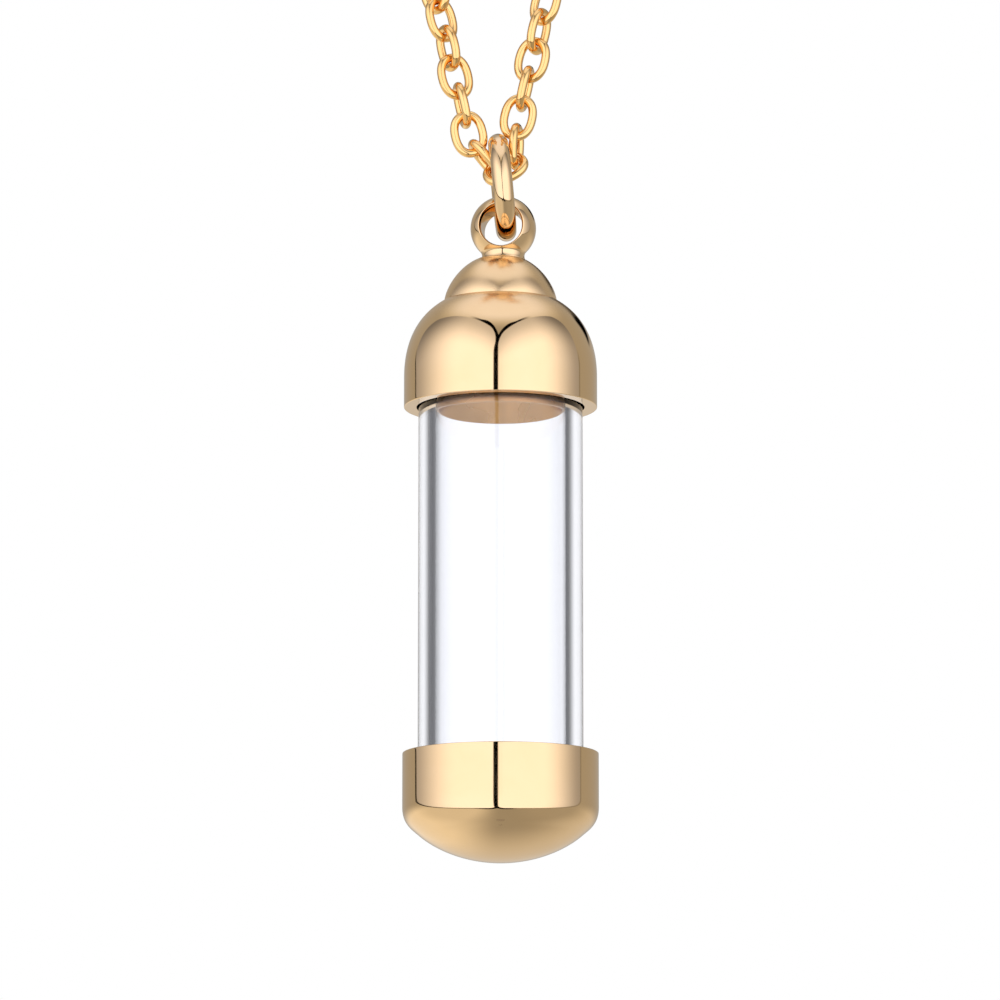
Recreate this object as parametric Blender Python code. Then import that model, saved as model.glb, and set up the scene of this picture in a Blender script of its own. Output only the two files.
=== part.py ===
"""Gold sample vial: a screw-capped glass tube that hangs from a cable chain.

Lengths are in millimetres with Z up, and heights in the dimensions below are counted
from the rim of the top cap's skirt. The model's origin is on the tube's axis, at the
height of the apex link's lower bow, where the chain carries the pendant.
"""
from math import cos, pi, radians, sin

import bmesh
import bpy
from mathutils import Matrix, Vector

MM = 0.001
RIM_BELOW_ORIGIN = 13.1
ROUND_STEPS = 48
AXIS_Z = Vector((0, 0, 1))
LYING = Matrix.Rotation(pi / 2, 4, "X")

# Glass tube
TUBE_R = 4.48
BORE_R = 3.55
TUBE_TOP = 1.93
TUBE_BOTTOM = -21.99
TUBE_EDGE = 0.08

# Threaded neck, held in the bore
NECK_BORE_R = 2.90
MOUTH_R = 3.36
MOUTH_TOP = 0.90
SLEEVE_R = 3.48
SLEEVE_BOTTOM = -0.35
FLANGE_R = 4.30
FLANGE_BOTTOM = 1.96
FLANGE_TOP = 2.36
THREAD_R = 3.50
NECK_TOP = 4.63
NECK_EDGE = 0.08

# Seals
O_RING_R = 3.93
O_RING_Z = 2.75
O_RING_WIRE_R = 0.34
LINER_R = 3.55
LINER_BOTTOM = 4.68
LINER_TOP = 5.02
CUSHION_R = 4.40
CUSHION_BOTTOM = -22.32
CUSHION_TOP = -22.02

# Caps: radius and height of the outside, from the rim on
CAP_R = 5.275
CAP_BORE_R = 4.58
CAP_LIP = 0.08
RIM_ROUND = 0.10
RIM_FLAT = 0.03
CAP_CEILING = 3.14
CAP_THREAD_R = 3.62
CAP_ROOF = 5.05
SHOULDER = (
    (CAP_R, 2.0), (5.22, 2.6), (5.12, 3.1), (4.92, 3.8), (4.62, 4.45), (4.24, 4.98),
    (3.78, 5.43), (3.18, 5.86),
)
BOSS_DOME = (
    (3.08, 5.88), (3.06, 6.02), (3.00, 6.30), (2.93, 6.52), (2.82, 6.74), (2.71, 6.96),
    (2.55, 7.18), (2.38, 7.40), (2.20, 7.62), (1.95, 7.84), (1.68, 8.04), (1.32, 8.24),
    (1.22, 8.28),
)
BASE_R = 5.31
BASE_RIM = -19.0
BASE_LIP = 0.06
BASE_FLOOR = -22.35
BASE_DOME = (
    (BASE_R, -22.13), (5.27, -22.32), (5.12, -22.73), (4.84, -23.08), (4.46, -23.42),
    (3.9, -23.82), (3.2, -24.21), (2.5, -24.51), (1.84, -24.71), (1.0, -24.86),
)
BASE_BOTTOM = -24.92

# Drilled ball on the top cap
BALL_R = 1.80
BALL_CENTRE = Vector((0.15, 0, 10.0))
BALL_FOOT = ((1.30, 8.31), (1.22, 8.44), (1.21, 8.56), (1.30, 8.74))
EYE_R = 1.07
EYE_STRAIGHT = 1.25
EYE_TURN = radians(-6)

# Jump ring, leaning to the left
RING_R = 2.42
RING_WIRE_R = 0.555
RING_CENTRE = Vector((0.09, 0, 12.32))
RING_LEAN = radians(5.5)
RING_PIVOT_Z = 13.6

# Cable chain: half sizes of a link's centreline, wire, and step from link to link
LINK_HALF_LENGTH = 1.09
LINK_HALF_WIDTH = 0.76
LINK_WIRE_R = 0.235
LINK_SQUARENESS = 2.3
LINK_PLAY = 0.04
LINK_STEP = 2 * LINK_HALF_LENGTH - 2 * LINK_WIRE_R - LINK_PLAY
STRAND_LEAN = radians(13.2)
TWIST_PER_LINK = radians(9.5)
STRAND_LINKS = 6
LEFT_START = Vector((-1.745, 0, 15.33))
RIGHT_START = Vector((0.975, 0, 16.27))
# centre, long axis and width direction of the three slack links under the strands
APEX_LINKS = (
    ("apex_link", (-0.852, 0.060, 13.943), (0.636, 0.053, -0.770), (-0.122, 0.992, -0.032)),
    ("right_link_1", (0.275, -0.218, 13.299), (0.877, 0.024, 0.480), (0.408, -0.564, -0.718)),
    ("right_link_2", (0.870, 0.006, 14.624), (0.049, -0.005, 0.999), (-0.243, -0.970, 0.007)),
)

# Ends of the two strands
END_RING_R = 1.70
END_RING_WIRE_R = 0.30
CLASP_RING_R = 1.25
CLASP_RING_WIRE_R = 0.25
CLASP_EYE_R = 0.50
CLASP_THICK = 2.0
CLASP_TAB_THICK = 0.9
CLASP_SLOT = 0.95
CLASP_RING_SAG = 0.09
LEVER_THICK = 0.83
PIN_R = 0.30
PIN_PLAY = 0.04
PIVOT = (1.55, 3.35)
LEAF_X = 0.42
LEAF_THICK = 0.12
LEAF_WIDTH = 0.63
PIN_SUNK = 0.02


def clear_scene():
    for thing in list(bpy.data.objects):
        bpy.data.objects.remove(thing, do_unlink=True)


def material(name, colour, metallic, roughness, transmission=0.0):
    made = bpy.data.materials.new(name)
    made.use_nodes = True
    shader = made.node_tree.nodes["Principled BSDF"]
    shader.inputs["Base Color"].default_value = (*colour, 1)
    shader.inputs["Metallic"].default_value = metallic
    shader.inputs["Roughness"].default_value = roughness
    shader.inputs["Transmission Weight"].default_value = transmission
    return made


def solid(name, verts, faces, finish, origin=None):
    """A mesh object from points in millimetres above the rim, with its origin at the given point."""
    origin = Vector(origin or (0, 0, RIM_BELOW_ORIGIN))
    mesh = bpy.data.meshes.new(name)
    mesh.from_pydata([(Vector(v) - origin) * MM for v in verts], [], faces)
    outward(mesh)
    thing = bpy.data.objects.new(name, mesh)
    thing.location = (origin - Vector((0, 0, RIM_BELOW_ORIGIN))) * MM
    mesh.materials.append(finish)
    bpy.context.scene.collection.objects.link(thing)
    return thing


def outward(mesh):
    """Turns every face of a closed mesh to point away from its inside."""
    work = bmesh.new()
    work.from_mesh(mesh)
    bmesh.ops.recalc_face_normals(work, faces=work.faces)
    work.to_mesh(mesh)
    work.free()


def grid_faces(rows, columns, closed_rows):
    """Quads between rings of points: rows rings of columns points each."""
    faces = []
    for i in range(rows if closed_rows else rows - 1):
        a, b = i * columns, (i + 1) % rows * columns
        for j in range(columns):
            k = (j + 1) % columns
            faces.append((a + j, a + k, b + k, b + j))
    return faces


def lathe(name, profile, finish, steps=ROUND_STEPS, place=None, origin=None):
    """Turns a profile of (radius, height) about Z. A profile that runs from bottom to top along
    the outside and starts and ends on the axis gives a closed solid, and a loop gives a ring."""
    place = place or Matrix()
    on_axis = profile[0][0] == 0
    rings = profile[1:-1] if on_axis else profile
    turns = [2 * pi * j / steps for j in range(steps)]
    verts = [(r * cos(t), r * sin(t), z) for r, z in rings for t in turns]
    faces = grid_faces(len(rings), steps, not on_axis)
    if on_axis:
        low, high, last = len(verts), len(verts) + 1, (len(rings) - 1) * steps
        verts += [(0, 0, profile[0][1]), (0, 0, profile[-1][1])]
        for j in range(steps):
            k = (j + 1) % steps
            faces.append((low, k, j))
            faces.append((high, last + j, last + k))
    return solid(name, [place @ Vector(v) for v in verts], faces, finish, origin)


def wire_loop(name, points, across, wire_r, finish, sides=8, origin=None):
    """A round wire along a closed flat curve. across is the normal of the curve's plane."""
    count = len(points)
    verts = []
    for i, point in enumerate(points):
        along = (points[(i + 1) % count] - points[i - 1]).normalized()
        outward = along.cross(across).normalized()
        for j in range(sides):
            turn = 2 * pi * (j + 0.5) / sides
            verts.append(point + wire_r * (cos(turn) * outward + sin(turn) * across))
    return solid(name, verts, grid_faces(count, sides, True), finish, origin)


def plate(name, outline, thick, place, finish, origin=None):
    """A flat plate: an outline in the plane of place's X and Z axes, thickened along its Y axis."""
    count = len(outline)
    verts = [place @ Vector((x, side * thick / 2, z)) for side in (-1, 1) for x, z in outline]
    faces = [tuple(range(count)), tuple(reversed(range(count, 2 * count)))]
    faces += [(j, j + count, (j + 1) % count + count, (j + 1) % count) for j in range(count)]
    return solid(name, verts, faces, finish, origin)


def cut(body, *cutters):
    for cutter in cutters:
        cutter.hide_render = True
        cutter.display_type = "WIRE"
        step = body.modifiers.new("cut_" + cutter.name, "BOOLEAN")
        step.operation = "DIFFERENCE"
        step.solver = "EXACT"
        step.object = cutter


def circle(radius, steps, centre=(0, 0), start=0.0, end=2 * pi):
    """Points round a circle in the XZ plane. A part circle includes both its ends."""
    spans = steps if end - start >= 2 * pi else steps - 1
    turns = [start + (end - start) * i / spans for i in range(steps)]
    return [(centre[0] + radius * cos(t), centre[1] + radius * sin(t)) for t in turns]


def axes(centre, up, across):
    """A place whose Z is up, whose X is across and whose Y is the normal of both."""
    up = Vector(up).normalized()
    across = Vector(across)
    across = (across - up * across.dot(up)).normalized()
    made = Matrix((across, up.cross(across), up)).transposed().to_4x4()
    made.translation = Vector(centre)
    return made


def direction(place, axis):
    return place.col[axis].to_3d().normalized()


def link_curve(place, steps=18):
    """The centreline of one oval link, squarer than an ellipse."""
    power = 2 / LINK_SQUARENESS
    points = []
    for i in range(steps):
        c, s = cos(2 * pi * (i + 0.5) / steps), sin(2 * pi * (i + 0.5) / steps)
        x = LINK_HALF_WIDTH * abs(c) ** power * (1 if c > 0 else -1)
        z = LINK_HALF_LENGTH * abs(s) ** power * (1 if s > 0 else -1)
        points.append(place @ Vector((x, 0, z)))
    return points


def ring_curve(place, radius, steps):
    return [place @ Vector((x, 0, z)) for x, z in circle(radius, steps)]


def link(name, place, finish, origin):
    return wire_loop(name, link_curve(place), direction(place, 1), LINK_WIRE_R, finish, 8, origin)


def bow(place, end):
    """The middle of a link's upper (1) or lower (-1) bow."""
    return place @ Vector((0, 0, end * LINK_HALF_LENGTH))


def strand(side, start):
    """Places of one strand's links from the lowest up. side is -1 on the left and 1 on the right."""
    up = Vector((side * sin(STRAND_LEAN), 0, cos(STRAND_LEAN)))
    flat = Vector((cos(STRAND_LEAN), 0, -side * sin(STRAND_LEAN)))
    places = []
    for i in range(STRAND_LINKS):
        twist = Matrix.Rotation(-side * TWIST_PER_LINK * i, 3, up)
        across = twist @ (flat if i % 2 == 0 else Vector((0, 1, 0)))
        places.append(axes(start + up * LINK_STEP * i, up, across))
    return places


def chain_places():
    """(name, place, point of the joint) of every link, from the apex outwards."""
    apex, first, second = (axes(*numbers) for name, *numbers in APEX_LINKS)
    found = [("apex_link", apex, Vector((0, 0, RIM_BELOW_ORIGIN)))]
    found.append(("right_link_1", first, bow(apex, 1)))
    found.append(("right_link_2", second, bow(first, 1)))
    below = second
    for i, place in enumerate(strand(1, RIGHT_START)):
        found.append((f"right_link_{i + 3}", place, bow(below, 1)))
        below = place
    joint = bow(apex, -1)
    for i, place in enumerate(strand(-1, LEFT_START)):
        found.append((f"left_link_{i + 1}", place, joint))
        joint = bow(place, 1)
    return found


def ring_on(last, radius, wire_r):
    """The place of a ring that a strand's last link holds by its upper bow."""
    up, across = direction(last, 2), direction(last, 0)
    lowest = bow(last, 1) - up * (LINK_WIRE_R + wire_r + LINK_PLAY)
    return axes(lowest + up * radius, up, up.cross(across))


def make_tube_side(glass, gold, brass, rubber):
    lathe("glass_tube", (
        (BORE_R, TUBE_BOTTOM), (TUBE_R - TUBE_EDGE, TUBE_BOTTOM), (TUBE_R, TUBE_BOTTOM + TUBE_EDGE),
        (TUBE_R, TUBE_TOP - TUBE_EDGE), (TUBE_R - TUBE_EDGE, TUBE_TOP), (BORE_R, TUBE_TOP),
    ), glass)
    lathe("neck_collar", (
        (NECK_BORE_R, MOUTH_TOP), (MOUTH_R, SLEEVE_BOTTOM), (SLEEVE_R, SLEEVE_BOTTOM), (SLEEVE_R, FLANGE_BOTTOM),
        (FLANGE_R, FLANGE_BOTTOM), (FLANGE_R, FLANGE_TOP), (THREAD_R, FLANGE_TOP),
        (THREAD_R, NECK_TOP - NECK_EDGE), (THREAD_R - NECK_EDGE, NECK_TOP),
        (NECK_BORE_R + NECK_EDGE, NECK_TOP), (NECK_BORE_R, NECK_TOP - NECK_EDGE),
    ), brass)
    lathe("neck_o_ring", circle(O_RING_WIRE_R, 10, (O_RING_R, O_RING_Z)), rubber, 40)
    lathe("base_cushion", (
        (0, CUSHION_BOTTOM), (CUSHION_R, CUSHION_BOTTOM), (CUSHION_R, CUSHION_TOP), (0, CUSHION_TOP),
    ), rubber)
    rim = (
        (BASE_R, BASE_RIM - RIM_ROUND), (BASE_R - RIM_FLAT, BASE_RIM - RIM_FLAT),
        (BASE_R - RIM_ROUND, BASE_RIM), (CAP_BORE_R + BASE_LIP, BASE_RIM),
        (CAP_BORE_R, BASE_RIM - BASE_LIP),
    )
    lathe("bottom_cap", (
        (0, BASE_BOTTOM), *reversed(BASE_DOME), *rim, (CAP_BORE_R, BASE_FLOOR), (0, BASE_FLOOR),
    ), gold)


def make_cap_side(gold, rubber, hinge):
    lathe("top_cap", (
        (0, CAP_ROOF), (CAP_THREAD_R, CAP_ROOF), (CAP_THREAD_R, CAP_CEILING), (CAP_BORE_R, CAP_CEILING),
        (CAP_BORE_R, CAP_LIP), (CAP_BORE_R + CAP_LIP, 0), (CAP_R - RIM_ROUND, 0),
        (CAP_R - RIM_FLAT, RIM_FLAT), (CAP_R, RIM_ROUND), *SHOULDER, *BOSS_DOME,
        (0, BOSS_DOME[-1][1]),
    ), gold, origin=hinge)
    lathe("cap_liner", (
        (0, LINER_BOTTOM), (LINER_R, LINER_BOTTOM), (LINER_R, LINER_TOP), (0, LINER_TOP),
    ), rubber, origin=hinge)
    make_eye(gold, hinge)


def make_eye(gold, hinge):
    """The ball, with a soldered foot below and a hole through it from front to back."""
    drop = BALL_CENTRE.z
    ball = [(BALL_R * cos(radians(a)), drop + BALL_R * sin(radians(a))) for a in range(-42, 90, 12)]
    profile = ((0, BALL_FOOT[0][1]), *BALL_FOOT, *ball, (0, drop + BALL_R))
    beside = Matrix.Translation((BALL_CENTRE.x, 0, 0))
    eye = lathe("bail_eye", profile, gold, 28, beside, hinge)
    flare = EYE_R + BALL_R - EYE_STRAIGHT
    turned = Matrix.Rotation(EYE_TURN, 4, "Z") @ LYING
    through = Matrix.Translation(BALL_CENTRE) @ turned
    drill = lathe("eye_drill", (
        (0, -BALL_R), (flare, -BALL_R), (EYE_R, -EYE_STRAIGHT), (EYE_R, EYE_STRAIGHT),
        (flare, BALL_R), (0, BALL_R),
    ), gold, 24, through)
    cut(eye, drill)


def make_clasp(gold, steel, last):
    """A lobster clasp: a hooked body with an eye, and a sprung lever on a pin in a slot."""
    ring = ring_on(last, CLASP_RING_R, CLASP_RING_WIRE_R)
    wire_loop("clasp_ring", ring_curve(ring, CLASP_RING_R, 24), direction(ring, 1),
              CLASP_RING_WIRE_R, gold, 8, bow(last, 1))
    top = ring @ Vector((0, 0, CLASP_RING_R))
    up, hole = direction(ring, 2), direction(ring, 0)
    rise = CLASP_EYE_R - CLASP_RING_WIRE_R - CLASP_RING_SAG - LINK_PLAY
    eye = axes(top + up * rise, up, up.cross(hole) * -1)
    make_clasp_body(eye, gold, top)
    make_lever(eye, gold, steel, top)


def make_clasp_body(eye, gold, top):
    tab = circle(1.15, 9, (0, 0), radians(200), radians(340))
    right = [(1.45, 1.9), (2.35, 2.9), (2.55, 4.0), (1.75, 4.15), (1.25, 3.95), (0.95, 4.1)]
    mouth = circle(1.0, 8, (0.15, 7.0), radians(150), radians(10))
    mouth = [(-0.75, 4.9), (-0.85, 6.2), *mouth[1:-1], (1.1, 6.9)]
    tip = [(1.45, 6.62), (1.95, 6.62), (2.3, 7.2)]
    back = circle(2.35, 9, (-0.05, 7.3), radians(15), radians(165))
    left = [(-2.45, 6.0), (-2.3, 4.2), (-1.9, 2.6), (-1.35, 1.2)]
    body = plate("clasp_body", [*tab, *right, *mouth, *tip, *back, *left], CLASP_THICK, eye, gold, top)
    bar = ((0, -CLASP_THICK), (CLASP_EYE_R, -CLASP_THICK), (CLASP_EYE_R, CLASP_THICK), (0, CLASP_THICK))
    hole = lathe("clasp_hole", bar, gold, 16, eye @ LYING)
    slot_outline = [(0.35, 2.55), (3.2, 2.55), (3.2, 4.6), (0.35, 4.6)]
    slot = plate("clasp_slot", slot_outline, CLASP_SLOT, eye, gold)
    thinner = [(-1.5, -1.5), (1.5, -1.5), (1.5, 1.02), (-1.5, 1.02)]
    cheeks = []
    for side in (-1, 1):
        beside = eye @ Matrix.Translation((0, side * CLASP_THICK / 2, 0))
        cheeks.append(plate(f"clasp_cheek_{side + 1}", thinner, CLASP_THICK - CLASP_TAB_THICK, beside, gold))
    pin_hole = pivot_lathe("clasp_pin_hole", eye, PIN_R + PIN_PLAY, CLASP_THICK, gold, 16)
    cut(body, hole, slot, pin_hole, *cheeks)


def pivot_lathe(name, eye, radius, half, finish, steps, origin=None):
    """A round bar across the clasp, on the lever's axis."""
    place = eye @ Matrix.Translation((PIVOT[0], 0, PIVOT[1])) @ LYING
    bar = ((0, -half), (radius, -half), (radius, half), (0, half))
    return lathe(name, bar, finish, steps, place, origin)


def make_lever(eye, gold, steel, top):
    pivot = eye @ Vector((PIVOT[0], 0, PIVOT[1]))
    hub = circle(0.66, 10, PIVOT, radians(175), radians(330))
    outside = [(2.25, 3.55), (2.95, 3.75), (3.1, 4.15), (2.75, 4.5), (2.2, 4.85), (2.05, 6.0), (1.98, 6.54)]
    inside = [(1.42, 6.54), (1.5, 6.0), (1.42, 4.9), (1.2, 4.3)]
    lever = plate("clasp_lever", [*hub, *outside, *inside], LEVER_THICK, eye, gold, pivot)
    bore = pivot_lathe("lever_bore", eye, PIN_R + PIN_PLAY, CLASP_THICK, gold, 16)
    cut(lever, bore)
    pivot_lathe("clasp_pin", eye, PIN_R, CLASP_THICK / 2 - PIN_SUNK, steel, 16, top)
    back = LEAF_X + LEAF_THICK
    leaf = [(LEAF_X, 2.62), (back, 2.62), (back, 3.3), (0.60, 3.74), (0.74, 3.96), (0.65, 4.03),
            (0.50, 3.80), (LEAF_X, 3.32)]
    plate("clasp_leaf", leaf, LEAF_WIDTH, eye, steel, top)


def build():
    clear_scene()
    gold = material("gold_polished", (0.86, 0.68, 0.38), 1.0, 0.08)
    chain_gold = material("gold_chain", (0.93, 0.68, 0.30), 1.0, 0.18)
    brass = material("brass_turned", (0.62, 0.44, 0.27), 1.0, 0.35)
    glass = material("glass_clear", (0.97, 0.98, 0.99), 0.0, 0.02, 1.0)
    rubber = material("silicone_clear", (0.85, 0.85, 0.83), 0.0, 0.5)
    steel = material("spring_steel", (0.60, 0.60, 0.60), 1.0, 0.3)
    lean = Matrix.Rotation(-RING_LEAN, 3, "Y")
    ring = axes(RING_CENTRE, lean @ AXIS_Z, (0, 1, 0))
    make_tube_side(glass, gold, brass, rubber)
    make_cap_side(gold, rubber, ring @ Vector((0, 0, -RING_R)))
    wire_loop("jump_ring", ring_curve(ring, RING_R, 36), direction(ring, 1), RING_WIRE_R, gold,
              12, (0, 0, RING_PIVOT_Z))
    last = {}
    for name, place, joint in chain_places():
        link(name, place, chain_gold, joint)
        last[name.split("_")[0]] = place
    end = ring_on(last["left"], END_RING_R, END_RING_WIRE_R)
    wire_loop("end_ring", ring_curve(end, END_RING_R, 28), direction(end, 1), END_RING_WIRE_R,
              chain_gold, 8, bow(last["left"], 1))
    make_clasp(chain_gold, steel, last["right"])


build()
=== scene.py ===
# %% [markdown]
# # Gold sample vial on a cable chain
# A small glass tube with gold caps at both ends. The top cap screws on, and carries a drilled
# ball, a thick jump ring and the two strands of a fine chain. The measured solids of every
# piece come in first as a fixed frame, and each of them then gets a smooth, finished stand-in
# that moves with the same body.
# %% Load the measured frame
from math import cos, dist, pi, radians, sin

import bmesh
import bpy
from mathutils import Matrix, Vector


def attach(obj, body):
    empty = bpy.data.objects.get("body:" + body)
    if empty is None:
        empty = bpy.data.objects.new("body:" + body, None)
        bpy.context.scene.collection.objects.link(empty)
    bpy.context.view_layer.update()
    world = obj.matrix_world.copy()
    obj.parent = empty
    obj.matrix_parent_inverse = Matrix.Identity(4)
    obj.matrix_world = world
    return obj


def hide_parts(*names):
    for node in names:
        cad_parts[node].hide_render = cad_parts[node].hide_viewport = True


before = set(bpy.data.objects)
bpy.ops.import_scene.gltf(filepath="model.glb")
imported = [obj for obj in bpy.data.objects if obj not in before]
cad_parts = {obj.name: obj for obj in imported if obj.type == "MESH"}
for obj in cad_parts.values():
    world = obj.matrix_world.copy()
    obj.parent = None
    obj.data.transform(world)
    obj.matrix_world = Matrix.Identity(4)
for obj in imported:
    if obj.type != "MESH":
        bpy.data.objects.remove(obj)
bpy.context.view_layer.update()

# %% [markdown]
# ## Units and heights
# A turner measures a cap from its rim, so the heights below are in millimetres above the rim
# of the top cap's skirt. One helper turns such a point into the frame's metres.
# %% Millimetres above the rim
MM = 0.001
RIM_BELOW_ORIGIN = 13.1


def at(x, y, z):
    """A point in metres from millimetres, with z counted from the top cap's rim."""
    return Vector((x, y, z - RIM_BELOW_ORIGIN)) * MM


print("rim of the top cap at z =", round(at(0, 0, 0).z, 4), "m")

# %% [markdown]
# ## Camera
# Small products are taken with a long lens from a little below, which keeps the sides of the
# tube parallel and shows the underside of the cap's rim. A camera in Blender looks along its
# own -Z, so a track quaternion turns it to its target.
# %% Long lens from a little below
LENS_MM = 207.2
CAMERA_AT = Vector((-0.00003, -0.309, -0.071))
CAMERA_AIM = Vector((-0.00003, 0, -0.0182))


def place_camera():
    camera = bpy.data.objects.new("camera", bpy.data.cameras.new("camera"))
    camera.data.lens = LENS_MM
    camera.data.sensor_width = 36
    camera.data.clip_start = 0.01
    camera.location = CAMERA_AT
    camera.rotation_mode = "QUATERNION"
    camera.rotation_quaternion = (CAMERA_AIM - CAMERA_AT).to_track_quat("-Z", "Y")
    bpy.context.scene.collection.objects.link(camera)
    bpy.context.scene.camera = camera


place_camera()
bpy.context.scene.view_settings.view_transform = "Standard"
print("camera", LENS_MM, "mm lens, looks up by 10 degrees")

# %% [markdown]
# ## Node helpers
# Materials, the studio dome and the shape recipes are all node trees. These helpers add one
# node, set its values, and wire sockets by name, so that each tree below reads as a recipe.
# %% Small helpers for node trees
def add(tree, kind, **settings):
    """Adds a node and sets its own settings."""
    node = tree.nodes.new(kind)
    for name, value in settings.items():
        setattr(node, name, value)
    return node


def feed(tree, node, *values, **named):
    """Links or sets inputs, in order or by name with spaces as underscores."""
    pairs = list(enumerate(values)) + [(k.replace("_", " "), v) for k, v in named.items()]
    for key, value in pairs:
        socket = node.inputs[key]
        if isinstance(value, bpy.types.NodeSocket):
            tree.links.new(value, socket)
        elif value is not None:
            socket.default_value = value
    return node


class Sums:
    """Writes arithmetic as nodes in one tree."""

    def __init__(self, tree):
        self.tree = tree

    def __call__(self, operation, *values, clamp=False):
        node = add(self.tree, "ShaderNodeMath", operation=operation, use_clamp=clamp)
        return feed(self.tree, node, *values).outputs[0]

    def step(self, value, low, high, out_low=0.0, out_high=1.0):
        """A smooth rise from out_low to out_high while value goes from low to high."""
        node = add(self.tree, "ShaderNodeMapRange", interpolation_type="SMOOTHSTEP")
        return feed(self.tree, node, value, low, high, out_low, out_high).outputs[0]

    def mix(self, share, first, second):
        """A number between two, first where share is 0."""
        node = add(self.tree, "ShaderNodeMix", data_type="FLOAT")
        return feed(self.tree, node, share, None, first, second).outputs[0]


def mix_colours(tree, share, first, second):
    """A colour between two. The node has its sockets A and B once for each type of value."""
    node = add(tree, "ShaderNodeMix", data_type="RGBA")
    tree.links.new(share, node.inputs["Factor"])
    for socket in [s for s in node.inputs if s.type == "RGBA"]:
        socket.default_value = first if socket.name == "A" else second
    return next(s for s in node.outputs if s.type == "RGBA")


print("node helpers ready")

# %% [markdown]
# ## Studio
# Mirror gold shows nothing but the room, so the room is the finish. It is a dome painted by
# direction: two tall soft panels with a thin dark gap between them, a soft light overhead, a
# white wall behind and darker sides. The gap draws the thin black line down the caps, and the
# darker sides draw the grey bands in the glass. The camera itself sees plain white.
# %% Studio dome and floor
FLOOR_Z, FLOOR_R, FLOOR_COLOUR = -2.0, 0.10, (0.42, 0.39, 0.34, 1)
ROOM_LIGHT, PANEL_LIGHT, GLASS_TINT = (1.0, 0.965, 0.91, 1), (0.985, 1.0, 1.15, 1), (0.965, 0.97, 1.0, 1)

# Directions are in degrees. Turn is 0 towards the camera and grows to the right, rise is 0 at
# the height of the object and 90 overhead. Side -1 is the left panel and 1 the right one.
PANEL_INNER, PANEL_OUTER = {-1: 6.4, 1: -2.9}, {-1: 126.0, 1: 108.0}
PANEL_FACING, PANEL_TOP_SLOPE = 63, 1.55
PANEL_FOOT_SPREAD, PANEL_FOOT_SLOPE = 0.85, 0.76
PANEL_CORNER = 9.5
PANEL_OUTER_GLOW, PANEL_INNER_GLOW, PANEL_TOP_GLOW = {-1: 0.45, 1: 0.44}, 1.5, 0.46
EDGE_DARK = {-1: 0.9, 1: 0.3}
GAP_TURN, GAP_WIDTH, EDGE_WIDTH = 4.6, 5.0, 2.0
WALL_LEVEL, OVERHEAD_LEVEL = 0.44, 1.08


def tilted(do, turn, facing, slope):
    """Elevation of the level edge of a flat panel, which seems to sink to both sides."""
    away = do("COSINE", do("MULTIPLY", do("SUBTRACT", turn, facing), pi / 180))
    return do("MULTIPLY", do("ARCTANGENT", do("MULTIPLY", away, slope)), 180 / pi)


def panel(do, turn, rise, side):
    """One flat panel with round corners: how far inside it a direction lies, in degrees."""
    across = do("MULTIPLY", turn, side)
    over = do("SUBTRACT", tilted(do, turn, PANEL_FACING * side, PANEL_TOP_SLOPE), rise)
    spread = do("MULTIPLY", turn, PANEL_FOOT_SPREAD)
    under = do("ADD", rise, tilted(do, spread, 0, PANEL_FOOT_SLOPE))
    wide = do("MINIMUM", do("SUBTRACT", across, PANEL_INNER[side]),
              do("SUBTRACT", PANEL_OUTER[side], across))
    tall = do("MINIMUM", over, under)
    beyond = [do("MAXIMUM", do("SUBTRACT", PANEL_CORNER, gap), 0.0) for gap in (wide, tall)]
    squares = do("ADD", *[do("MULTIPLY", gap, gap) for gap in beyond])
    inside = do("SUBTRACT", PANEL_CORNER, do("SQRT", squares))
    return inside, over, across


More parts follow.
